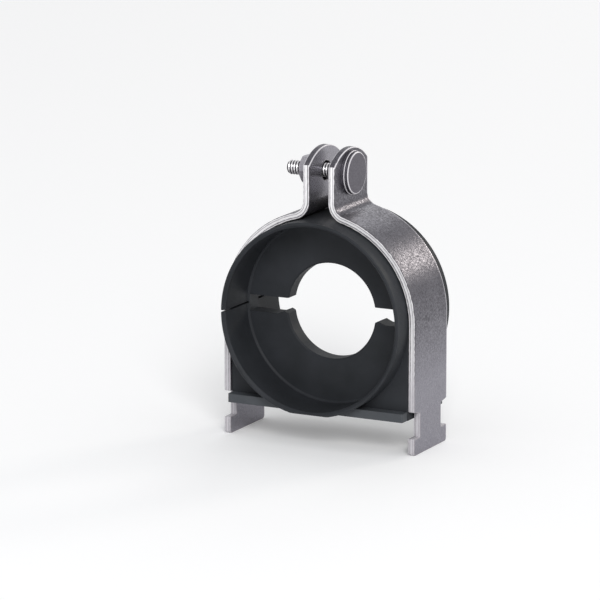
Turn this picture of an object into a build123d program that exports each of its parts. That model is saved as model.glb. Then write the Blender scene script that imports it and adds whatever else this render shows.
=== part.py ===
from build123d import *
from math import atan2, degrees, radians, sin, sqrt, tan
import os

# Two-strap clamp with a moulded coupling between the straps.
# Frame: X runs across the clamp, Y along the bore, +Z up.
# The origin is on the bore's axis, midway along the straps' width. Millimetres.

# Coupling: bores and lengths
saddle_radius = 20.8
socket_radius = 40.0
sleeve_wall = 2.0
sleeve_length = 50.8
web_thickness = 8.0
web_root_chamfer = 0.8
socket_lead_in = 1.0
saddle_edge_chamfer = 0.6
sleeve_edge_chamfer = 0.35

# Coupling: the web's two gaps, the locking ridge in them and the slit through the wall
web_gap_height = 7.2
ridge_height = 1.3
ridge_half_width = 3.0
ridge_from_saddle = 1.7
slit_width = 0.9

# Coupling: base block and foot
base_floor = 1.0
base_width = 30.8
base_edge_radius = 0.5
foot_thickness = 3.7
foot_width = 40.0
foot_corner_radius = 0.8
foot_end_setback = 0.4

# Straps: sheet, ring and ears
strap_thickness = 3.04
strap_width = 31.75
strap_clearance = 0.3
ear_gap = 8.8
ear_bend_radius = 5.5
bolt_rise = 14.8
ear_margin = 10.8
ear_dome_rise = 6.5

# Straps: shoulders, necks and hooks
shoulder_lift = 3.9
shoulder_slope = 1.0
neck_width = 20.6
lip_height = 7.1
lip_clearance = 0.5
hook_height = 7.4
hook_corner_radius = 1.6

# Bolt
bolt_diameter = 6.35
bolt_length = 29.4
bolt_tip_chamfer = 0.8
head_face_diameter = 18.1
head_face_thickness = 1.3
head_flange_diameter = 18.9
head_flange_thickness = 1.25
head_groove_width = 0.3
head_groove_depth = 0.45
head_edge_chamfer = 0.25
neck_clearance = 0.1
neck_recess = 0.3
ear_hole_clearance = 1.0

# Washer and nut
washer_diameter = 18.65
washer_hole_diameter = 7.94
washer_thickness = 1.65
nut_across_flats = 11.11
nut_thickness = 5.56
nut_bore_clearance = 0.05
nut_corner_chamfer_angle = 30.0

# Sizes that follow from the ones above
sleeve_radius = socket_radius + sleeve_wall
ridge_distance = saddle_radius + ridge_from_saddle
base_drop = socket_radius + base_floor
ring_radius = sleeve_radius + strap_clearance
ring_outer_radius = ring_radius + strap_thickness
bolt_height = ring_outer_radius + bolt_rise
ear_top_height = bolt_height + ear_margin
ear_inner_face = ear_gap / 2
ear_outer_face = ear_inner_face + strap_thickness
half_width = strap_width / 2
shoulder_height = -base_drop + shoulder_lift
notch_bottom = -base_drop - lip_height - lip_clearance
hook_bottom = notch_bottom - hook_height
bolt_radius = bolt_diameter / 2

# Room that cutting shapes take past the material they cut
overcut = 1.0


def socket_outline():
    """Half section of one socket, as radius and distance from the middle, with its root and lead-in."""
    web_face = web_thickness / 2
    mouth = sleeve_length / 2
    return [
        (0, web_face),
        (socket_radius - web_root_chamfer, web_face),
        (socket_radius, web_face + web_root_chamfer),
        (socket_radius, mouth - socket_lead_in),
        (socket_radius + socket_lead_in, mouth),
        (socket_radius + socket_lead_in, mouth + overcut),
        (0, mouth + overcut),
    ]


def web_gap_outline():
    """Outline of the gap in the web: flat above, with a ridge standing up from its lower edge."""
    top = web_gap_height / 2
    bottom = -web_gap_height / 2
    inner = saddle_radius / 2
    outer = socket_radius + overcut
    return [
        (inner, top),
        (outer, top),
        (outer, bottom),
        (ridge_distance + ridge_half_width, bottom),
        (ridge_distance, bottom + ridge_height),
        (ridge_distance - ridge_half_width, bottom),
        (inner, bottom),
        (inner, top),
    ]


def build_coupling():
    """The moulded coupling: a sleeve with a socket at each end, a web between them, and a base with a foot."""
    with BuildPart() as coupling:
        # Base block between the straps' legs
        with BuildSketch(Plane.XZ):
            with Locations((0, -base_drop / 2)):
                Rectangle(2 * sleeve_radius, base_drop)
        extrude(amount=base_width / 2, both=True)
        fillet(coupling.edges().filter_by(Axis.Z), base_edge_radius)

        # Foot plate under the block
        with BuildSketch(Plane.XY.offset(-base_drop)):
            RectangleRounded(
                2 * (sleeve_radius - foot_end_setback), foot_width, foot_corner_radius
            )
        extrude(amount=foot_thickness)

        # Sleeve, with its two outer rims eased, cut flat under the base
        with BuildSketch(Plane.XY) as sleeve:
            with Locations((sleeve_radius / 2, 0)):
                Rectangle(sleeve_radius, sleeve_length)
            chamfer(sleeve.vertices().group_by(Axis.X)[-1], sleeve_edge_chamfer)
        revolve(axis=Axis.Y)
        split(bisect_by=Plane.XY.offset(-base_drop), keep=Keep.TOP)

        # Sockets, one at each end, and the saddle bore through the web
        for side in (1, -1):
            with BuildSketch(Plane.XY):
                with BuildLine():
                    Polyline([(radius, side * y) for radius, y in socket_outline()], close=True)
                make_face()
            revolve(axis=Axis.Y, mode=Mode.SUBTRACT)
        with BuildSketch(Plane.XZ):
            Circle(saddle_radius)
        extrude(amount=web_thickness, both=True, mode=Mode.SUBTRACT)
        saddle_edges = coupling.edges().filter_by(GeomType.CIRCLE).filter_by(
            lambda edge: abs(edge.radius - saddle_radius) < 0.01
        )
        chamfer(saddle_edges, saddle_edge_chamfer)

        # Gaps in the web at both sides, inside the wall
        with BuildSketch(Plane.XZ):
            for side in (1, -1):
                with BuildLine():
                    Polyline([(side * x, z) for x, z in web_gap_outline()])
                make_face()
            Circle(socket_radius - web_root_chamfer, mode=Mode.INTERSECT)
        extrude(amount=web_thickness, both=True, mode=Mode.SUBTRACT)

        # Slit through the wall on the far side, where the coupling springs open
        with BuildSketch(Plane.XZ):
            with Locations((-sleeve_radius, 0)):
                Rectangle(2 * sleeve_wall + overcut, slit_width)
        extrude(amount=sleeve_length, both=True, mode=Mode.SUBTRACT)
    coupling.part.label = "coupling"
    return coupling.part


def strap_section():
    """Section of the right strap: ear, bend, quarter ring and leg, as one bent sheet."""
    bend_x = ear_outer_face + ear_bend_radius
    bend_z = sqrt((ring_outer_radius + ear_bend_radius) ** 2 - bend_x**2)
    bend_angle = degrees(atan2(bend_z, bend_x))
    blank_top = ear_top_height + overcut
    with BuildLine() as outline:
        Line((ear_inner_face, blank_top), (ear_inner_face, bend_z))
        CenterArc((bend_x, bend_z), ear_bend_radius + strap_thickness, 180, bend_angle)
        CenterArc((0, 0), ring_radius, 0, bend_angle)
        Polyline(
            (ring_radius, 0),
            (ring_radius, hook_bottom),
            (ring_outer_radius, hook_bottom),
            (ring_outer_radius, 0),
        )
        CenterArc((0, 0), ring_outer_radius, 0, bend_angle)
        CenterArc((bend_x, bend_z), ear_bend_radius, 180, bend_angle)
        Polyline(
            (ear_outer_face, bend_z),
            (ear_outer_face, blank_top),
            (ear_inner_face, blank_top),
        )
    return outline.line


def build_strap(square_hole):
    """The right strap. Its ear has the square hole for the bolt's neck, or a round one."""
    dome_radius = (half_width**2 + ear_dome_rise**2) / (2 * ear_dome_rise)
    with BuildPart() as strap:
        with BuildSketch(Plane.XZ):
            with BuildLine():
                add(strap_section())
            make_face()
        extrude(amount=half_width, both=True)

        # Domed top of the ear
        with BuildSketch(Plane.YZ.offset(ear_inner_face - overcut)):
            with Locations((0, ear_top_height)):
                Rectangle(strap_width + 2 * overcut, 2 * ear_dome_rise)
            with Locations((0, ear_top_height - dome_radius)):
                Circle(dome_radius, mode=Mode.SUBTRACT)
        extrude(amount=strap_thickness + 2 * overcut, mode=Mode.SUBTRACT)

        # Notches beside the neck, which leave the shoulders above and the hook below
        with BuildSketch(Plane.YZ.offset(ring_radius - overcut)):
            for side in (1, -1):
                with BuildLine():
                    Polyline(
                        (side * (half_width + overcut), shoulder_height),
                        (side * half_width, shoulder_height),
                        (side * neck_width / 2, shoulder_height - shoulder_slope),
                        (side * neck_width / 2, notch_bottom),
                        (side * (half_width + overcut), notch_bottom),
                        close=True,
                    )
                make_face()
        extrude(amount=strap_thickness + 2 * overcut, mode=Mode.SUBTRACT)
        hook_corners = strap.edges().filter_by(Axis.X).group_by(Axis.Z)[0]
        fillet(hook_corners, hook_corner_radius)

        # Bolt hole
        with BuildSketch(Plane.YZ.offset(ear_inner_face - overcut)):
            with Locations((0, bolt_height)):
                if square_hole:
                    Rectangle(bolt_diameter + 2 * neck_clearance, bolt_diameter + 2 * neck_clearance)
                else:
                    Circle(bolt_radius + ear_hole_clearance)
        extrude(amount=strap_thickness + 2 * overcut, mode=Mode.SUBTRACT)
    return strap.part


def build_bolt():
    """The bolt: a flat stepped round head, a square neck in the right ear, and a threaded shank."""
    flange_top = ear_outer_face + head_flange_thickness
    groove_top = flange_top + head_groove_width
    head_top = groove_top + head_face_thickness
    flange_radius = head_flange_diameter / 2
    face_radius = head_face_diameter / 2
    neck_end = ear_inner_face + neck_recess
    tip = ear_outer_face - bolt_length
    with BuildPart() as bolt:
        # Head and shank, turned about the bolt's axis
        with BuildSketch(Plane.XZ):
            with BuildLine():
                Polyline(
                    (tip, bolt_height),
                    (tip, bolt_height + bolt_radius - bolt_tip_chamfer),
                    (tip + bolt_tip_chamfer, bolt_height + bolt_radius),
                    (ear_outer_face, bolt_height + bolt_radius),
                    (ear_outer_face, bolt_height + flange_radius),
                    (flange_top - head_edge_chamfer, bolt_height + flange_radius),
                    (flange_top, bolt_height + flange_radius - head_edge_chamfer),
                    (flange_top, bolt_height + face_radius - head_groove_depth),
                    (groove_top, bolt_height + face_radius - head_groove_depth),
                    (groove_top, bolt_height + face_radius),
                    (head_top - head_edge_chamfer, bolt_height + face_radius),
                    (head_top, bolt_height + face_radius - head_edge_chamfer),
                    (head_top, bolt_height),
                    close=True,
                )
            make_face()
        revolve(axis=Axis((0, 0, bolt_height), (1, 0, 0)))

        # Square neck that stops the bolt turning
        with BuildSketch(Plane.YZ.offset(neck_end)):
            with Locations((0, bolt_height)):
                Rectangle(bolt_diameter, bolt_diameter)
        extrude(amount=ear_outer_face - neck_end)
    bolt.part.label = "bolt"
    return bolt.part


def build_washer():
    """The flat washer between the left ear and the nut."""
    with BuildPart() as washer:
        with BuildSketch(Plane.YZ.offset(-ear_outer_face - washer_thickness)):
            with Locations((0, bolt_height)):
                Circle(washer_diameter / 2)
                Circle(washer_hole_diameter / 2, mode=Mode.SUBTRACT)
        extrude(amount=washer_thickness)
    washer.part.label = "washer"
    return washer.part


def build_nut():
    """The hexagon nut, with its corners chamfered on both faces and a bore with running clearance."""
    inner_face = -ear_outer_face - washer_thickness
    outer_face = inner_face - nut_thickness
    flat_radius = nut_across_flats / 2
    corner_radius = flat_radius / sin(radians(60))
    chamfer_depth = (corner_radius - flat_radius) * tan(radians(nut_corner_chamfer_angle))
    with BuildPart() as nut:
        with BuildSketch(Plane.YZ.offset(outer_face)):
            with Locations((0, bolt_height)):
                RegularPolygon(flat_radius, 6, major_radius=False)
                Circle(bolt_radius + nut_bore_clearance, mode=Mode.SUBTRACT)
        extrude(amount=nut_thickness)
        with BuildSketch(Plane.XZ):
            with BuildLine():
                Polyline(
                    (outer_face, bolt_height),
                    (outer_face, bolt_height + flat_radius),
                    (outer_face + chamfer_depth, bolt_height + corner_radius),
                    (inner_face - chamfer_depth, bolt_height + corner_radius),
                    (inner_face, bolt_height + flat_radius),
                    (inner_face, bolt_height),
                    close=True,
                )
            make_face()
        revolve(axis=Axis((0, 0, bolt_height), (1, 0, 0)), mode=Mode.INTERSECT)
    nut.part.label = "nut"
    return nut.part


os.makedirs("parts", exist_ok=True)

coupling = build_coupling()
export_step(coupling, "parts/coupling.step")

strap_right = build_strap(square_hole=True)
strap_right.label = "strap_right"
export_step(strap_right, "parts/strap_right.step")

strap_left = build_strap(square_hole=False).mirror(Plane.YZ)
strap_left.label = "strap_left"
export_step(strap_left, "parts/strap_left.step")

export_step(build_bolt(), "parts/bolt.step")
export_step(build_washer(), "parts/washer.step")
export_step(build_nut(), "parts/nut.step")
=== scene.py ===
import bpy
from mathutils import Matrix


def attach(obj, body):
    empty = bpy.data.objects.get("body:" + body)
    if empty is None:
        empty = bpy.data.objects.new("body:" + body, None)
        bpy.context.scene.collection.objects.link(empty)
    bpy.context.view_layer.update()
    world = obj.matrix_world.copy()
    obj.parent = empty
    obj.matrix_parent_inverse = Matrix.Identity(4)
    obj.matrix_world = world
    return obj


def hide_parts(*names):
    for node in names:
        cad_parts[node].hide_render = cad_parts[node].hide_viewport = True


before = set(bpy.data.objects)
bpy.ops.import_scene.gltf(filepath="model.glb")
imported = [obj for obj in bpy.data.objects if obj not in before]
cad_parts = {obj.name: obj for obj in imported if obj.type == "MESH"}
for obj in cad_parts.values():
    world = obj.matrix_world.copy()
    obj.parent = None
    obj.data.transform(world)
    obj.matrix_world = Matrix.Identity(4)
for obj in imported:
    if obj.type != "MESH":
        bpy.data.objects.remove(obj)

"""Render scene of the two-strap clamp: its dressed pieces, the studio light and the camera.

Sizes are in millimetres unless a docstring says otherwise, and MM turns them to Blender's metres.
"""

import logging
import math
from dataclasses import dataclass, field
from enum import Enum
from typing import Callable, Sequence

import bpy
from mathutils import Vector

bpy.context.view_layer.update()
MM = 0.001
BOLT_HEIGHT = 60.14
# Points nearer than this, in metres, are one point: in a copy of a CAD node, and in a turned or wound piece.
COPY_MERGE = 0.001 * MM
TURNED_MERGE = 0.002 * MM

log = logging.getLogger("clamp")

Point = tuple[float, float, float]
Span = tuple[float, float]
Piece = bpy.types.Object
Face = bpy.types.MeshPolygon
Material = bpy.types.Material
Socket = bpy.types.NodeSocket


class Body(Enum):
    """The moving bodies that pieces ride on."""

    CLAMP = "clamp"
    CARRIER = "nut_carrier"
    NUT = "nut_body"


class Slot(Enum):
    """The record's material slots."""

    MOULDING = "moulding"
    STRAP = "strap_steel"
    FASTENER = "fastener_steel"


def linear(hex_colour: str) -> tuple[float, float, float, float]:
    """Turns an sRGB hex colour into Blender's linear one.

    Args:
        hex_colour: The colour as "#rrggbb".

    Returns:
        Linear red, green, blue and an alpha of 1.
    """
    text = hex_colour.lstrip("#")
    parts = [int(text[i:i + 2], 16) / 255 for i in (0, 2, 4)]
    red, green, blue = (p / 12.92 if p <= 0.04045 else ((p + 0.055) / 1.055) ** 2.4 for p in parts)
    return (red, green, blue, 1.0)


def per_mm(size_mm: float) -> float:
    """The texture scale at which one feature is size_mm wide on Object coordinates in metres."""
    return 1.0 / (size_mm * MM)


# Modelling by operators


class Bench:
    """A workbench for one piece at a time: it selects in code and runs the operators.

    Faces of a CAD node that meet at less than flat_angle degrees are one flat.
    """

    flat_angle: float = 0.4

    @staticmethod
    def clear() -> None:
        """Deselects everything and leaves edit mode."""
        if bpy.context.object and bpy.context.object.mode != "OBJECT":
            bpy.ops.object.mode_set(mode="OBJECT")
        bpy.ops.object.select_all(action="DESELECT")

    @staticmethod
    def take(piece: Piece) -> None:
        """Makes one piece the only selected and active object.

        Args:
            piece: The object to work on.
        """
        Bench.clear()
        piece.select_set(True)
        bpy.context.view_layer.objects.active = piece

    @staticmethod
    def edit(piece: Piece, chosen: bool = True) -> None:
        """Opens a piece in edit mode.

        Args:
            piece: The object to open.
            chosen: Whether all of it is selected, or nothing.
        """
        Bench.take(piece)
        bpy.ops.object.mode_set(mode="EDIT")
        bpy.ops.mesh.select_mode(type="VERT")
        bpy.ops.mesh.select_all(action="SELECT" if chosen else "DESELECT")

    @staticmethod
    def done() -> None:
        """Goes back to object mode."""
        bpy.ops.object.mode_set(mode="OBJECT")

    @staticmethod
    def from_node(node: str, name: str) -> Piece:
        """Copies a CAD node's mesh into a new piece, with its loose triangles merged and its flats joined.

        Args:
            node: The CAD node's name.
            name: The new piece's name.

        Returns:
            The new object, at the origin with its place in its mesh.
        """
        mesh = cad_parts[node].data.copy()
        mesh.materials.clear()
        piece = bpy.data.objects.new(name, mesh)
        bpy.context.scene.collection.objects.link(piece)
        Bench.edit(piece)
        bpy.ops.mesh.remove_doubles(threshold=COPY_MERGE)
        bpy.ops.mesh.dissolve_limited(angle_limit=math.radians(Bench.flat_angle))
        Bench.done()
        return piece

    @staticmethod
    def line(name: str, points: Sequence[Point]) -> Piece:
        """Draws an open line by extruding one vertex from point to point.

        Args:
            name: The new piece's name.
            points: The line's points in metres.

        Returns:
            The new object, which holds the line's edges only.
        """
        Bench.clear()
        bpy.ops.mesh.primitive_plane_add(size=MM, location=points[0])
        piece = bpy.context.object
        piece.name = name
        Bench.edit(piece)
        bpy.ops.mesh.merge(type="CENTER")
        for here, there in zip(points, points[1:]):
            step = Vector(there) - Vector(here)
            bpy.ops.mesh.extrude_region_move(TRANSFORM_OT_translate={"value": step})
        Bench.done()
        Bench.place(piece)
        return piece

    @staticmethod
    def place(piece: Piece) -> None:
        """Moves a piece's place into its mesh, so that its object sits at the origin."""
        Bench.take(piece)
        bpy.ops.object.transform_apply(location=True, rotation=True, scale=True)

    @staticmethod
    def lathe(name: str, points: Sequence[Point], centre: Point, steps: int) -> Piece:
        """Turns a line about an axis along X.

        Args:
            name: The new piece's name.
            points: The half section, from axis to axis, in metres.
            centre: A point on the axis.
            steps: How many facets go round.

        Returns:
            The closed turned piece.
        """
        piece = Bench.line(name, points)
        Bench.edit(piece)
        bpy.ops.mesh.spin(steps=steps, angle=math.tau, center=centre, axis=(1, 0, 0))
        bpy.ops.mesh.select_all(action="SELECT")
        bpy.ops.mesh.remove_doubles(threshold=TURNED_MERGE)
        bpy.ops.mesh.normals_make_consistent(inside=False)
        Bench.done()
        return piece

    @staticmethod
    def modify(piece: Piece, kind: str, **settings: object) -> None:
        """Adds a modifier to a piece, sets it and applies it.

        Args:
            piece: The object.
            kind: The modifier's type.
            settings: Its properties.
        """
        Bench.take(piece)
        bpy.ops.object.modifier_add(type=kind)
        modifier = piece.modifiers[-1]
        for key, value in settings.items():
            setattr(modifier, key, value)
        bpy.ops.object.modifier_apply(modifier=modifier.name)

    @staticmethod
    def ease(piece: Piece, width_mm: float, segments: int = 2, sharp: float = 30.0) -> None:
        """Rounds a piece's sharp edges.

        Args:
            piece: The object.
            width_mm: The round's width.
            segments: Facets across the round.
            sharp: The least angle that counts as sharp, in degrees.
        """
        Bench.modify(
            piece, "BEVEL", width=width_mm * MM, segments=segments, limit_method="ANGLE",
            angle_limit=math.radians(sharp), use_clamp_overlap=True, harden_normals=False,
            miter_outer="MITER_ARC",
        )

    @staticmethod
    def smooth(piece: Piece, angle: float = 32.0, flats: bool = True) -> None:
        """Shades a piece smooth where its faces meet at less than an angle.

        Args:
            piece: The object.
            angle: The angle in degrees.
            flats: Whether its large flats are kept flat.
        """
        Bench.take(piece)
        bpy.ops.object.shade_smooth_by_angle(angle=math.radians(angle))
        if flats:
            Bench.modify(piece, "WEIGHTED_NORMAL", keep_sharp=True, weight=80)

    @staticmethod
    def coat(piece: Piece, materials: Sequence[Material]) -> None:
        """Gives a piece its materials, of which the first covers it until others are painted on."""
        for material in materials:
            piece.data.materials.append(material)

    @staticmethod
    def paint(piece: Piece, material: Material, wanted: Callable[[Face], bool]) -> None:
        """Gives the wanted faces one of the piece's materials.

        Args:
            piece: The object.
            material: One of its materials.
            wanted: Tells of each face whether it is wanted.
        """
        Bench.edit(piece, chosen=False)
        bpy.ops.mesh.select_mode(type="FACE")
        Bench.done()
        for face in piece.data.polygons:
            face.select = wanted(face)
        bpy.ops.object.mode_set(mode="EDIT")
        piece.active_material_index = piece.data.materials.find(material.name)
        bpy.ops.object.material_slot_assign()
        Bench.done()

    @staticmethod
    def join(pieces: Sequence[Piece]) -> Piece:
        """Joins pieces into the first one.

        Args:
            pieces: The objects.

        Returns:
            The first object, which now holds all the meshes.
        """
        Bench.take(pieces[0])
        for piece in pieces[1:]:
            piece.select_set(True)
        bpy.ops.object.join()
        return pieces[0]


# Finishes


class Graph:
    """A material's nodes, added one at a time."""

    def __init__(self, name: str) -> None:
        """Starts a material with only its output and shader.

        Args:
            name: The material's name.
        """
        self.material = bpy.data.materials.new(name)
        self.material.use_nodes = True
        self.tree = self.material.node_tree
        self.shader = self.tree.nodes["Principled BSDF"]

    def wire(self, node: bpy.types.Node, links: dict[str | int, object]) -> None:
        """Sets or links a node's inputs.

        Args:
            node: The node.
            links: Input name or number to another node's output, or to a value for the input itself.
        """
        for key, value in links.items():
            if isinstance(value, Socket):
                self.tree.links.new(value, node.inputs[key])
            else:
                node.inputs[key].default_value = value

    def add(self, kind: str, links: dict[str | int, object] | None = None,
            stops: Sequence[tuple[float, str]] = (), **settings: object) -> bpy.types.NodeOutputs:
        """Adds a node with its settings and links.

        Args:
            kind: The node's type name.
            links: What its inputs are linked or set to.
            stops: A colour ramp's places and hex colours, in rising order.
            settings: The node's own properties.

        Returns:
            The node's outputs.
        """
        node = self.tree.nodes.new(kind)
        for key, value in settings.items():
            setattr(node, key, value)
        self.wire(node, links or {})
        if stops:
            elements = node.color_ramp.elements
            while len(elements) < len(stops):
                elements.new(0.5)
            for element, (position, colour) in zip(elements, stops):
                element.position = position
                element.color = linear(colour)
        return node.outputs

    def fade(self, colour: Socket, where: Socket, places: Span, last: str,
             share: float = 1.0, axis: str = "Z") -> Socket:
        """Fades a colour into another one along an axis, to paint light or shade onto a surface.

        Args:
            colour: The colour.
            where: The Object coordinates.
            places: Where on the axis the fade starts and where it ends.
            last: The colour beyond the end.
            share: How much of the last colour shows there.
            axis: The axis that the fade runs along.

        Returns:
            The faded colour.
        """
        start, end = places
        along = self.add("ShaderNodeMapRange", {
            "Value": self.add("ShaderNodeSeparateXYZ", {0: where})[axis],
            "From Min": start * MM, "From Max": end * MM, "To Min": 0.0, "To Max": share,
        })["Result"]
        return self.add("ShaderNodeMix", {0: along, 6: colour, 7: linear(last)}, data_type="RGBA")[2]


@dataclass(frozen=True)
class PlatedSteel:
    """Zinc-nickel plated steel strip, rolled and passivated dark.

    The eye gets a dark violet grey that is even on the flats, and a fine sparkle inside the soft highlights.
    """

    name: str = "plated_steel"
    dark: str = "#4b4950"
    light: str = "#727077"
    tones: Span = (0.38, 0.62)
    # The plating's crystals are under 0.1 mm wide, too fine to show, so they are drawn several times as wide.
    sparkle_mm: float = 0.8
    sparkle_depth_mm: float = 0.05
    cloud_mm: float = 9.0
    cloud_share: float = 0.2
    roughness: Span = (0.44, 0.26)
    metallic: float = 0.78
    # Where set, a fade along Z paints light or shade onto the steel, and a strip along +Y paints a highlight
    # on it.
    fade: Span | None = None
    painted_light_tone: str = "#9b99a0"
    painted_light_share: float = 0.75
    far_edge_highlight: Span | None = None
    far_edge_highlight_tone: str = "#b9b6bc"

    def material(self) -> Material:
        """Makes the material, whose crystals vary in tone and in gloss.

        Returns:
            The material.
        """
        graph = Graph(self.name)
        where = graph.add("ShaderNodeTexCoord")["Object"]
        sparkle = graph.add("ShaderNodeTexNoise", {
            "Vector": where, "Scale": per_mm(self.sparkle_mm), "Detail": 2.0, "Roughness": 0.6,
        })["Fac"]
        cloud = graph.add("ShaderNodeTexNoise", {
            "Vector": where, "Scale": per_mm(self.cloud_mm), "Detail": 3.0, "Roughness": 0.55,
        })["Fac"]
        blend = graph.add("ShaderNodeMix", {0: self.cloud_share, 2: sparkle, 3: cloud})[0]
        stops = tuple(zip(self.tones, (self.dark, self.light)))
        colour = graph.add("ShaderNodeValToRGB", {"Fac": blend}, stops)["Color"]
        # Painted light along Z and a painted highlight along Y, where they are set.
        if self.fade:
            colour = graph.fade(colour, where, self.fade, self.painted_light_tone, self.painted_light_share)
        if self.far_edge_highlight:
            colour = graph.fade(colour, where, self.far_edge_highlight, self.far_edge_highlight_tone, axis="Y")
        dull, glossy = self.roughness
        rough = graph.add("ShaderNodeMapRange", {
            "Value": sparkle, "From Min": 0.35, "From Max": 0.65, "To Min": dull, "To Max": glossy,
        })["Result"]
        grain = graph.add("ShaderNodeBump", {
            "Height": sparkle, "Strength": 1.0, "Distance": self.sparkle_depth_mm * MM,
        })["Normal"]
        graph.wire(graph.shader, {
            "Base Color": colour, "Metallic": self.metallic, "Roughness": rough, "Normal": grain,
        })
        return graph.material


@dataclass(frozen=True)
class ShearedSteel:
    """The sheared edge of the strip, plated over the bare cut.

    The eye gets a band far brighter than the faces, with the shear's fine lines running along it: a grey one
    a quarter of the way across, where the smooth cut ends and the torn part begins, and a fainter one beyond.
    """

    name: str = "sheared_steel_edge"
    thickness: float = 3.04
    leg_inside: float = 42.3
    ear_inside: float = 4.4
    bend_centre: Span = (12.94, 49.17)
    bend_outside: float = 8.54
    # The shear's scratches are about 0.05 mm apart, too fine to show, so they are drawn further apart.
    streak_mm: float = 0.3
    streak_length_mm: float = 1.8
    streak_depth_mm: float = 0.04
    wander: float = 0.035
    roughness: Span = (0.42, 0.55)
    metallic: float = 0.3
    # Greyer towards the foot: painted shade.
    fade: Span = (-5.0, -30.0)
    painted_light_tone: str = "#aaa6ac"
    painted_light_share: float = 0.7
    # The dark stops at both ends are painted shade along the borders where the edge meets the faces.
    lines: tuple[tuple[float, str], ...] = (
        (0.0, "#3f3d42"), (0.06, "#5d5a61"), (0.12, "#f2f0f2"), (0.2, "#f2f0f2"), (0.25, "#838086"),
        (0.33, "#838086"), (0.39, "#fbfafb"), (0.62, "#fbfafb"), (0.68, "#bdbabf"), (0.75, "#bdbabf"),
        (0.81, "#fbfafb"), (0.89, "#f5f3f5"), (0.94, "#4f4d53"), (1.0, "#4f4d53"),
    )

    def across(self, graph: Graph, where: Socket) -> Socket:
        """Finds how far across the sheet a point lies, on the leg, the ring, the bend and the ear alike.

        Args:
            graph: The material's nodes.
            where: The Object coordinates.

        Returns:
            The place across the sheet, from 0 at its inner face to 1 at its outer one.
        """
        flat = graph.add("ShaderNodeVectorMath", {0: where, 1: (1 / MM, 0.0, 1 / MM)}, operation="MULTIPLY")[0]
        fold = graph.add("ShaderNodeVectorMath", {0: flat}, operation="ABSOLUTE")[0]
        x = graph.add("ShaderNodeSeparateXYZ", {0: fold})["X"]
        z = graph.add("ShaderNodeSeparateXYZ", {0: flat})["Z"]
        centre_x, centre_z = self.bend_centre
        centre = (centre_x, 0.0, centre_z)
        from_axis = graph.add("ShaderNodeVectorMath", {0: fold}, operation="LENGTH")["Value"]
        from_bend = graph.add("ShaderNodeVectorMath", {0: fold, 1: centre}, operation="DISTANCE")["Value"]
        leg, ring, bend, ear = (
            graph.add("ShaderNodeMath", {0: outer, 1: inner}, operation="SUBTRACT")[0]
            for outer, inner in (
                (x, self.leg_inside), (from_axis, self.leg_inside), (self.bend_outside, from_bend),
                (x, self.ear_inside),
            )
        )
        level = graph.add("ShaderNodeMath", {0: x, 1: centre_z / centre_x}, operation="MULTIPLY")[0]
        part = leg
        for upper, lower, beyond in ((z, 0.0, ring), (z, level, bend), (z, centre_z, ear)):
            switch = graph.add("ShaderNodeMath", {0: upper, 1: lower}, operation="GREATER_THAN")[0]
            part = graph.add("ShaderNodeMix", {0: switch, 2: part, 3: beyond})[0]
        return graph.add("ShaderNodeMath", {0: part, 1: self.thickness}, operation="DIVIDE")[0]

    def material(self) -> Material:
        """Makes the material, whose lines follow the sheet and waver a little.

        Returns:
            The material.
        """
        graph = Graph(self.name)
        where = graph.add("ShaderNodeTexCoord")["Object"]
        across = self.across(graph, where)
        split = graph.add("ShaderNodeSeparateXYZ", {0: where})
        along = graph.add("ShaderNodeCombineXYZ", {
            number: graph.add("ShaderNodeMath", {0: place, 1: scale}, operation="MULTIPLY")[0]
            for number, (place, scale) in enumerate((
                (across, self.thickness / self.streak_mm),
                (split["X"], per_mm(self.streak_length_mm)),
                (split["Z"], per_mm(self.streak_length_mm)),
            ))
        })[0]
        streak = graph.add("ShaderNodeTexNoise", {
            "Vector": along, "Scale": 1.0, "Detail": 2.0, "Roughness": 0.5,
        })["Fac"]
        wander, rough = (
            graph.add("ShaderNodeMapRange", {
                "Value": streak, "From Min": 0.3, "From Max": 0.7, "To Min": low, "To Max": high,
            })["Result"]
            for low, high in ((-self.wander, self.wander), self.roughness)
        )
        place = graph.add("ShaderNodeMath", {0: across, 1: wander}, operation="ADD")[0]
        colour = graph.add("ShaderNodeValToRGB", {"Fac": place}, self.lines)["Color"]
        grain = graph.add("ShaderNodeBump", {
            "Height": streak, "Strength": 0.25, "Distance": self.streak_depth_mm * MM,
        })["Normal"]
        graph.wire(graph.shader, {
            "Base Color": graph.fade(colour, where, self.fade, self.painted_light_tone, self.painted_light_share),
            "Metallic": self.metallic, "Roughness": rough, "Normal": grain,
        })
        return graph.material


@dataclass(frozen=True)
class CornerHighlight:
    """A painted highlight along a corner of a plated piece.

    The eye gets a thin white line that draws the corner, painted where a hard edge catches the light.
    """

    name: str = "corner_painted_highlight"
    colour: str = "#dedbdf"
    roughness: float = 0.45
    metallic: float = 0.35

    def material(self) -> Material:
        """Makes the material.

        Returns:
            The material.
        """
        graph = Graph(self.name)
        graph.wire(graph.shader, {
            "Base Color": linear(self.colour), "Metallic": self.metallic, "Roughness": self.roughness,
        })
        return graph.material


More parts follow.
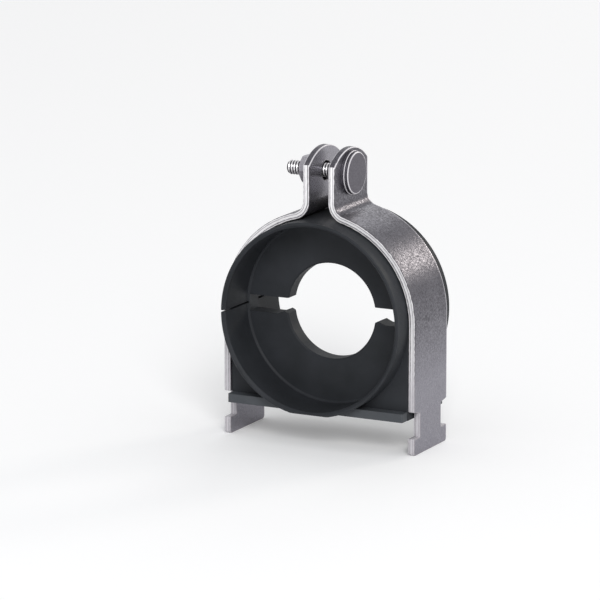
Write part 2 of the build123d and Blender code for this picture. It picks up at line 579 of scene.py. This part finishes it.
@dataclass(frozen=True)
class RolledThread:
    """A rolled and plated thread, with a painted highlight on its crests and painted shade in its roots.

    The eye gets a strong beat of white and dark lines, close together.
    """

    name: str = "thread_painted_highlight_and_shade"
    root: str = "#3a383d"
    crest: str = "#fbf9fb"
    radii: Span = (2.55, 3.1)
    tones: Span = (0.1, 0.9)
    roughness: float = 0.3
    metallic: float = 0.7

    def material(self) -> Material:
        """Makes the material, whose tone follows the distance from the bolt's axis.

        Returns:
            The material.
        """
        graph = Graph(self.name)
        where = graph.add("ShaderNodeTexCoord")["Object"]
        axis = (0.0, 0.0, BOLT_HEIGHT * MM)
        radial = graph.add("ShaderNodeVectorMath", {0: where, 1: (0.0, 1.0, 1.0)}, operation="MULTIPLY")[0]
        radius = graph.add("ShaderNodeVectorMath", {0: radial, 1: axis}, operation="DISTANCE")["Value"]
        low, high = self.radii
        height = graph.add("ShaderNodeMapRange", {
            "Value": radius, "From Min": low * MM, "From Max": high * MM, "To Min": 0.0, "To Max": 1.0,
        })["Result"]
        stops = tuple(zip(self.tones, (self.root, self.crest)))
        graph.wire(graph.shader, {
            "Base Color": graph.add("ShaderNodeValToRGB", {"Fac": height}, stops)["Color"],
            "Metallic": self.metallic, "Roughness": self.roughness,
        })
        return graph.material


@dataclass(frozen=True)
class MouldedPlastic:
    """Injection-moulded engineering plastic, charcoal, from a lightly textured mould.

    The eye gets a dark, slightly blue grey with a soft sheen and a fine even grain.
    """

    name: str = "moulded_charcoal_plastic"
    dark: str = "#292b2e"
    light: str = "#313337"
    tones: Span = (0.3, 0.7)
    specular: float = 0.15
    # The mould's texture is about 0.1 mm wide, too fine to show, so it is drawn several times as wide.
    grain_mm: float = 0.5
    grain_depth_mm: float = 0.05
    cloud_mm: float = 14.0
    roughness: Span = (0.46, 0.6)

    def material(self) -> Material:
        """Makes the material, whose tone drifts slowly under an even grain.

        Returns:
            The material.
        """
        graph = Graph(self.name)
        where = graph.add("ShaderNodeTexCoord")["Object"]
        grain = graph.add("ShaderNodeTexNoise", {
            "Vector": where, "Scale": per_mm(self.grain_mm), "Detail": 2.0, "Roughness": 0.6,
        })["Fac"]
        cloud = graph.add("ShaderNodeTexNoise", {
            "Vector": where, "Scale": per_mm(self.cloud_mm), "Detail": 3.0, "Roughness": 0.5,
        })["Fac"]
        stops = tuple(zip(self.tones, (self.dark, self.light)))
        glossy, dull = self.roughness
        rough = graph.add("ShaderNodeMapRange", {
            "Value": grain, "From Min": 0.3, "From Max": 0.7, "To Min": glossy, "To Max": dull,
        })["Result"]
        skin = graph.add("ShaderNodeBump", {
            "Height": grain, "Strength": 0.2, "Distance": self.grain_depth_mm * MM,
        })["Normal"]
        graph.wire(graph.shader, {
            "Base Color": graph.add("ShaderNodeValToRGB", {"Fac": cloud}, stops)["Color"],
            "Roughness": rough, "Specular IOR Level": self.specular, "Normal": skin,
        })
        return graph.material


# Pieces


def finish(piece: Piece, body: Body, slot: Slot, *nodes: str) -> Piece:
    """Ties a piece to its body and hides the CAD nodes that it stands for.

    Args:
        piece: The dressed object.
        body: The body it rides on.
        slot: The record's material slot; it is not used.
        nodes: The CAD nodes that it replaces.

    Returns:
        The same object.
    """
    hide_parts(*nodes)
    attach(piece, body.value)
    return piece


@dataclass
class Coupling:
    """The moulded coupling, with its corners eased as a mould leaves them and painted light on its foot, a
    lighter and glossier copy of the plastic.

    The foot's faces lie lower than foot_top, and either beyond sleeve_reach from the sleeve's axis or, facing
    down, lower than foot_under.
    """

    corner_ease: float = 0.3
    sharp: float = 35.0
    sleeve_reach: float = 42.1
    foot_top: float = -37.25
    foot_under: float = -40.9
    facing_down: float = -0.95
    plastic: MouldedPlastic = field(default_factory=MouldedPlastic)
    # The foot is a lighter copy of the plastic: painted light.
    foot_painted_light: MouldedPlastic = field(default_factory=lambda: MouldedPlastic(
        "charcoal_plastic_foot_painted_light", dark="#43464a", light="#4d5054", specular=0.3))

    def on_foot(self, face: Face) -> bool:
        """Tells whether a face is one of the foot's, outside the sleeve.

        Args:
            face: The face.

        Returns:
            Whether it is on the foot.
        """
        beside = math.hypot(face.center.x, face.center.z) > self.sleeve_reach * MM
        below = face.normal.z < self.facing_down and face.center.z < self.foot_under * MM
        return face.center.z < self.foot_top * MM and (beside or below)

    def build(self) -> list[Piece]:
        """Builds the coupling from the CAD node's mesh.

        Returns:
            The one moulding.
        """
        moulding = Bench.from_node("coupling", "coupling_moulding")
        Bench.ease(moulding, self.corner_ease, sharp=self.sharp)
        plain, foot_painted_light = self.plastic.material(), self.foot_painted_light.material()
        Bench.coat(moulding, (plain, foot_painted_light))
        Bench.paint(moulding, foot_painted_light, self.on_foot)
        Bench.smooth(moulding)
        return [finish(moulding, Body.CLAMP, Slot.MOULDING, "coupling")]


@dataclass
class Straps:
    """The two bent straps, with eased faces and bright sheared edges.

    A face is known by its place and its tilt, which is an axis's share in its normal.
    """

    nodes: tuple[str, ...] = ("strap_right", "strap_left")
    width: float = 31.75
    edge_ease: float = 0.4
    ease_facets: int = 3
    dome_height: float = 64.0
    bend_top: float = 49.17
    cut_height: float = -35.0
    long_edge_tilt: float = 0.2
    cut_end_tilt: float = 0.98
    dome_tilts: Span = (0.25, 0.97)
    far_round_tilts: Span = (0.1, 0.9)
    ear_tilt: float = 0.97
    # The face is painted lighter towards the foot, a painted reflection of the pale surroundings, with a
    # painted highlight along the far long edge.
    face: PlatedSteel = field(default_factory=lambda: PlatedSteel(
        fade=(2.0, -26.0), painted_light_tone="#918f98", far_edge_highlight=(15.0, 15.2)))
    edge: ShearedSteel = field(default_factory=ShearedSteel)
    corner: CornerHighlight = field(default_factory=CornerHighlight)
    # The ear's inner face is painted lighter than the outer one, and paler still towards the ear's top:
    # painted light in the gap between the ears.
    inside: PlatedSteel = field(default_factory=lambda: PlatedSteel(
        "plated_steel_inside_painted_light", dark="#5f5d64", light="#88868d", sparkle_depth_mm=0.012,
        roughness=(0.25, 0.19), fade=(46.5, 54.0)))

    def dress(self, sheet: Piece, edge: Material, corner: Material, inside: Material) -> None:
        """Gives a strap's sheared edges their own finish, paints a highlight on its corners and paints light
        on its inner ear face.

        Args:
            sheet: The strap.
            edge: The finish of its long edges and of the cut ends at its foot.
            corner: The painted highlight on the dome's corners and on the far long edge's round.
            inside: The painted light on the ear's face that looks at the other ear.
        """
        side = (self.width / 2 - self.edge_ease) * MM
        dome, ear, cut = self.dome_height * MM, self.bend_top * MM, self.cut_height * MM
        (dome_low, dome_high), (round_low, round_high) = self.dome_tilts, self.far_round_tilts
        Bench.paint(sheet, edge, lambda f: abs(f.normal.y) > self.long_edge_tilt and abs(f.center.y) > side)
        Bench.paint(sheet, edge, lambda f: abs(f.normal.x) < self.cut_end_tilt and f.center.z < cut)
        # The dome's corners and the far round get a painted highlight, and the ear's inner face painted light.
        Bench.paint(sheet, corner, lambda f: f.center.z > dome and dome_low < abs(f.normal.x) < dome_high)
        Bench.paint(sheet, corner, lambda f: round_low < f.normal.y < round_high and f.center.y > side)
        Bench.paint(sheet, inside, lambda f: (
            f.center.z > ear and f.normal.x * f.center.x < -self.ear_tilt * abs(f.center.x)))

    def build(self) -> list[Piece]:
        """Builds both straps from the CAD nodes' meshes.

        Returns:
            The two sheets.
        """
        coats = [steel.material() for steel in (self.face, self.edge, self.corner, self.inside)]
        sheets = []
        for node in self.nodes:
            sheet = Bench.from_node(node, f"{node}_sheet")
            Bench.ease(sheet, self.edge_ease, self.ease_facets)
            Bench.coat(sheet, coats)
            self.dress(sheet, *coats[1:])
            Bench.smooth(sheet)
            sheets.append(finish(sheet, Body.CLAMP, Slot.STRAP, node))
        return sheets


@dataclass
class Bolt:
    """The bolt: stepped flat head, square neck and a rolled thread.

    The head's section gives each point's distance from the seat and from the axis. The blank is the turned
    shape, wider than the thread and longer at both ends, whose end gives the tip its chamfer.
    """

    head_seat: float = 7.44
    head_section: tuple[Span, ...] = (
        (0.0, 0.0), (0.0, 9.3), (0.15, 9.45), (0.95, 9.45), (1.15, 9.38), (1.25, 9.2), (1.25, 8.65),
        (1.5, 8.6), (1.55, 8.85), (1.7, 9.02), (2.5, 9.05), (2.68, 9.0), (2.78, 8.87), (2.85, 8.57),
        (2.85, 0.0),
    )
    head_steps: int = 96
    head_smooth: float = 28.0
    corner_tilts: Span = (0.25, 0.99)
    neck_start: float = 4.7
    neck_sunk: float = 0.2
    neck_ease: float = 0.25
    tip: float = -21.96
    tip_chamfer: float = 0.8
    thread_end: float = 4.6
    major_radius: float = 3.175
    pitch: float = 1.27
    flank_angle: float = 30.0
    thread_steps: int = 36
    thread_smooth: float = 75.0
    end_tilt: float = 0.95
    blank_steps: int = 48
    blank_spare: float = 0.4
    blank_before: float = 0.2
    blank_beyond: float = 1.0
    cut_merge: float = 0.0005
    steel: PlatedSteel = field(default_factory=lambda: PlatedSteel(
        "plated_bolt_steel", dark="#58555d", light="#636068", sparkle_depth_mm=0.02, cloud_mm=6.0,
        roughness=(0.44, 0.34)))
    rolled: RolledThread = field(default_factory=RolledThread)
    corner: CornerHighlight = field(default_factory=CornerHighlight)

    def at(self, along: float, out: float) -> Point:
        """A point of the half section, in metres, from its X and its distance from the axis."""
        return (along * MM, 0.0, (BOLT_HEIGHT + out) * MM)

    def wind(self) -> Piece:
        """Winds one turn's outline into a thread that is longer than it needs to be at both ends.

        Returns:
            The open thread.
        """
        crest, root = self.pitch / 8, self.pitch / 4
        flank = (self.pitch - crest - root) / 2
        deep = self.major_radius - flank / math.tan(math.radians(self.flank_angle))
        start = self.tip - 2 * self.pitch
        turns = math.ceil((self.thread_end - start) / self.pitch) + 2
        piece = Bench.line("bolt_thread", [
            self.at(start, deep),
            self.at(start + root, deep),
            self.at(start + root + flank, self.major_radius),
            self.at(start + root + flank + crest, self.major_radius),
            self.at(start + self.pitch, deep),
        ])
        Bench.take(piece)
        bpy.context.scene.cursor.location = self.at(0, 0)
        bpy.ops.object.origin_set(type="ORIGIN_CURSOR")
        Bench.modify(
            piece, "SCREW", axis="X", angle=math.tau, screw_offset=self.pitch * MM, iterations=turns,
            steps=self.thread_steps, render_steps=self.thread_steps,
        )
        Bench.place(piece)
        Bench.edit(piece)
        bpy.ops.mesh.remove_doubles(threshold=TURNED_MERGE)
        Bench.done()
        return piece

    def thread(self) -> Piece:
        """Makes the threaded shank: winds it, cuts and caps both ends and chamfers the tip.

        Returns:
            The closed shank.
        """
        piece = self.wind()
        for place, outward in ((self.tip, -1), (self.thread_end, 1)):
            Bench.edit(piece)
            bpy.ops.mesh.bisect(
                plane_co=self.at(place, 0), plane_no=(outward, 0, 0), use_fill=True, clear_outer=True,
                threshold=self.cut_merge * MM,
            )
            Bench.done()
        Bench.edit(piece)
        bpy.ops.mesh.normals_make_consistent(inside=False)
        Bench.done()
        before, beyond = self.tip - self.blank_before, self.thread_end + self.blank_beyond
        wide = self.major_radius + self.blank_spare
        blank = Bench.lathe("bolt_blank", [
            self.at(before, 0),
            self.at(before, self.major_radius - self.tip_chamfer - self.blank_before),
            self.at(self.tip + self.tip_chamfer + self.blank_spare, wide),
            self.at(beyond, wide),
            self.at(beyond, 0),
        ], self.at(0, 0), self.blank_steps)
        Bench.modify(piece, "BOOLEAN", operation="INTERSECT", object=blank, solver="EXACT")
        bpy.data.objects.remove(blank)
        return piece

    def head(self) -> Piece:
        """Turns the head's two steps, with the groove between them, and returns the head."""
        section = [self.at(self.head_seat + along, out) for along, out in self.head_section]
        return Bench.lathe("bolt_head", section, self.at(0, 0), self.head_steps)

    def neck(self) -> Piece:
        """Makes the square neck that sits in the right ear.

        Returns:
            The neck.
        """
        Bench.clear()
        start, end = self.neck_start, self.head_seat + self.neck_sunk
        side = 2 * self.major_radius * MM
        bpy.ops.mesh.primitive_cube_add(size=1, location=self.at((start + end) / 2, 0))
        piece = bpy.context.object
        piece.name = "bolt_neck"
        piece.scale = ((end - start) * MM, side, side)
        Bench.place(piece)
        Bench.ease(piece, self.neck_ease)
        return piece

    def build(self) -> list[Piece]:
        """Builds the head, the neck and the shank, dresses them and joins them.

        Returns:
            The one bolt.
        """
        head, neck, thread = self.head(), self.neck(), self.thread()
        steel, rolled, corner = self.steel.material(), self.rolled.material(), self.corner.material()
        Bench.coat(thread, (rolled, steel))
        Bench.paint(thread, steel, lambda f: abs(f.normal.x) > self.end_tilt)
        Bench.coat(head, (steel, corner))
        Bench.coat(neck, (steel,))
        # The head's rims get a painted highlight.
        low, high = self.corner_tilts
        Bench.paint(head, corner, lambda f: low < abs(f.normal.x) < high)
        Bench.smooth(head, self.head_smooth)
        Bench.smooth(neck, self.head_smooth)
        Bench.smooth(thread, self.thread_smooth, flats=False)
        bolt = Bench.join([head, neck, thread])
        bolt.name = "bolt_threaded"
        return [finish(bolt, Body.CLAMP, Slot.FASTENER, "bolt")]


@dataclass
class NutAndWasher:
    """The hexagon nut and the flat washer under it.

    The nut's corners are its faces beyond corner_reach from the axis with less than corner_area in mm squared.
    """

    nut_ease: float = 0.2
    nut_sharp: float = 20.0
    nut_smooth: float = 25.0
    corner_reach: float = 5.0
    corner_area: float = 1.6
    washer_ease: float = 0.25
    steel: PlatedSteel = field(default_factory=lambda: PlatedSteel(
        "plated_nut_steel", dark="#a5a2a9", light="#bebbc2", sparkle_mm=0.7, sparkle_depth_mm=0.02,
        cloud_mm=4.0, roughness=(0.4, 0.28)))
    corner: CornerHighlight = field(default_factory=CornerHighlight)

    def on_corner(self, face: Face) -> bool:
        """Tells whether a face is one of the nut's narrow outer corners."""
        out = math.hypot(face.center.y, face.center.z - BOLT_HEIGHT * MM)
        return out > self.corner_reach * MM and face.area < self.corner_area * MM ** 2

    def build(self) -> list[Piece]:
        """Builds both pieces from the CAD nodes' meshes.

        Returns:
            The nut and the washer.
        """
        steel, corner = self.steel.material(), self.corner.material()
        nut = Bench.from_node("nut", "nut_hexagon")
        Bench.ease(nut, self.nut_ease, sharp=self.nut_sharp)
        Bench.coat(nut, (steel, corner))
        # The nut's narrow corners get a painted highlight.
        Bench.paint(nut, corner, self.on_corner)
        Bench.smooth(nut, self.nut_smooth)
        washer = Bench.from_node("washer", "washer_flat")
        Bench.ease(washer, self.washer_ease)
        Bench.smooth(washer)
        Bench.coat(washer, (steel,))
        return [
            finish(nut, Body.NUT, Slot.FASTENER, "nut"),
            finish(washer, Body.CARRIER, Slot.FASTENER, "washer"),
        ]


# Studio


@dataclass(frozen=True)
class Lamp:
    """A soft square lamp: its place, aim and side are in metres and its power in watts."""

    name: str
    place: Point
    aim: Point
    side: float
    watts: float
    colour: str = "#ffffff"

    def hang(self) -> None:
        """Hangs the lamp at its place and turns it to its aim."""
        data = bpy.data.lights.new(self.name, "AREA")
        data.size = self.side
        data.energy = self.watts
        data.color = linear(self.colour)[:3]
        holder = bpy.data.objects.new(self.name, data)
        bpy.context.scene.collection.objects.link(holder)
        holder.location = self.place
        holder.rotation_mode = "QUATERNION"
        holder.rotation_quaternion = (Vector(self.aim) - Vector(self.place)).to_track_quat("-Z", "Y")


@dataclass
class Studio:
    """Pale floor, soft lamps, world and the camera at the photograph's viewing angle.

    Angles are in degrees, the focal length and the frame are in pixels, and the clips and the floor's side are
    in metres.
    """

    azimuth: float = 27.03
    elevation: float = 12.45
    distance: float = 1893.7
    target: Point = (-16.93, 0.0, 2.35)
    focal_px: float = 4417.8
    frame_px: int = 600
    sensor: float = 36.0
    clips: Span = (0.05, 20.0)
    floor_level: float = -56.02
    floor_side: float = 12.0
    floor_colour: str = "#fafafa"
    floor_roughness: float = 0.9
    floor_glow: float = 0.09
    world_colour: str = "#f2f3f5"
    world_strength: float = 0.68
    lamps: tuple[Lamp, ...] = (
        Lamp("key", (1.24, 2.9, 1.12), (0.03, 0.0, 0.02), 0.72, 13.5, "#fff8ee"),
        Lamp("back", (-0.7, 2.9, 1.6), (0.0, 0.0, 0.03), 1.3, 6.0),
        Lamp("front", (2.0, -3.0, 2.2), (0.0, 0.0, 0.0), 1.5, 95.0),
    )

    def direction(self) -> Vector:
        """The unit vector from the target towards the camera."""
        a, e = math.radians(self.azimuth), math.radians(self.elevation)
        return Vector((math.sin(a) * math.cos(e), -math.cos(a) * math.cos(e), math.sin(e)))

    def camera(self) -> None:
        """Sets up the camera."""
        lens = bpy.data.cameras.new("camera")
        lens.sensor_width = self.sensor
        lens.lens = self.focal_px * self.sensor / self.frame_px
        lens.clip_start, lens.clip_end = self.clips
        holder = bpy.data.objects.new("camera", lens)
        bpy.context.scene.collection.objects.link(holder)
        back = self.direction()
        holder.location = Vector(self.target) * MM + back * (self.distance * MM)
        holder.rotation_mode = "QUATERNION"
        holder.rotation_quaternion = (-back).to_track_quat("-Z", "Y")
        bpy.context.scene.camera = holder

    def floor(self) -> None:
        """Lays the pale floor.

        It looks near white where it is seen, directly or in a reflection, and that gives the object no light.
        """
        Bench.clear()
        bpy.ops.mesh.primitive_plane_add(size=self.floor_side, location=(0, 0, self.floor_level * MM))
        floor = bpy.context.object
        floor.name = "floor"
        graph = Graph("pale_floor")
        path = graph.add("ShaderNodeLightPath")
        seen = path["Is Camera Ray"]
        for ray in ("Is Glossy Ray", "Is Transmission Ray"):
            seen = graph.add("ShaderNodeMath", {0: seen, 1: path[ray]}, operation="ADD")[0]
        glow = graph.add("ShaderNodeMath", {0: seen, 1: self.floor_glow}, operation="MULTIPLY")[0]
        graph.wire(graph.shader, {
            "Base Color": linear(self.floor_colour), "Roughness": self.floor_roughness,
            "Emission Color": linear("#ffffff"), "Emission Strength": glow,
        })
        Bench.coat(floor, (graph.material,))

    def world(self) -> None:
        """Gives the world an even pale light."""
        world = bpy.data.worlds.new("studio")
        bpy.context.scene.world = world
        world.use_nodes = True
        sky = world.node_tree.nodes["Background"]
        sky.inputs["Color"].default_value = linear(self.world_colour)
        sky.inputs["Strength"].default_value = self.world_strength

    def build(self) -> None:
        """Sets up the whole studio."""
        bpy.context.scene.view_settings.view_transform = "Standard"
        self.camera()
        self.floor()
        self.world()
        for lamp in self.lamps:
            lamp.hang()


def main() -> None:
    """Builds the studio and every piece in order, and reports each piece."""
    logging.basicConfig(level=logging.INFO, format="%(name)s %(message)s")
    Studio().build()
    for assembly in (Coupling(), Straps(), Bolt(), NutAndWasher()):
        for piece in assembly.build():
            log.info("%s: %d faces", piece.name, len(piece.data.polygons))


if __name__ == "__main__":
    main()
